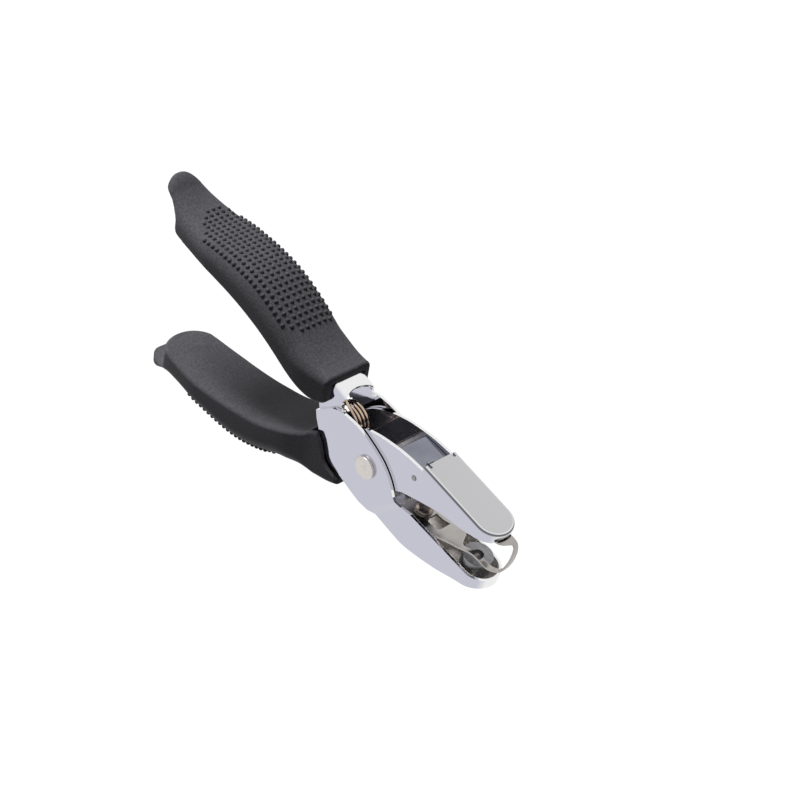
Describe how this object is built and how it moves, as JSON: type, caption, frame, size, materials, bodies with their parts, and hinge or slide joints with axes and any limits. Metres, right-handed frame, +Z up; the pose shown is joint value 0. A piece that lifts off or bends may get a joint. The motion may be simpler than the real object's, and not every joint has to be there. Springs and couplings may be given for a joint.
{
  "type": "single hole punch",
  "caption": "Hand-held single hole punch: crossed plated levers on a rivet, soft grips, return spring, punch pin, die and stripper strip.",
  "frame": {"origin": "on the table, in the middle of the upper grip's flat side, the punch lying on its side", "axes": "+X to the nose of the jaws, +Y to the upper jaw and the upper grip, +Z up, across the levers and along the pivot"},
  "size_m": [0.1698, 0.0797, 0.0234],
  "materials": {
    "plated_sheet": "bright plating",
    "plated_sheet_inner": "bright plating, satin on the cap",
    "grip_soft": "fine-grained matte",
    "rivet_nickel": "satin nickel",
    "spring_wire": "drawn wire",
    "carrier_steel": "plain",
    "pin_steel": "ground",
    "die_steel": "hardened, dark",
    "strip_steel": "plain spring steel",
    "post_steel": "plain"
  },
  "bodies": {
    "frame": {"die_lever": "plated_sheet", "upper_grip": "grip_soft", "pivot_rivet": "rivet_nickel", "return_spring": "spring_wire", "die_button": "die_steel", "stripper_strip": "strip_steel", "strip_post": "post_steel"},
    "lever": {"punch_lever": "plated_sheet_inner", "lower_grip": "grip_soft", "punch_carrier": "carrier_steel", "carrier_pin": "pin_steel", "punch_pin": "pin_steel"}
  },
  "joints": [
    {"name": "lever_pivot", "type": "hinge", "parent": "frame", "child": "lever", "pos_m": [0.064, -0.02, 0.0117], "axis": [0, 0, -1], "range_deg": [0, 15], "stiffness_Nm_per_rad": 0.6, "springref_deg": -20.05, "deforming": ["return_spring", "stripper_strip"]}
  ]
}
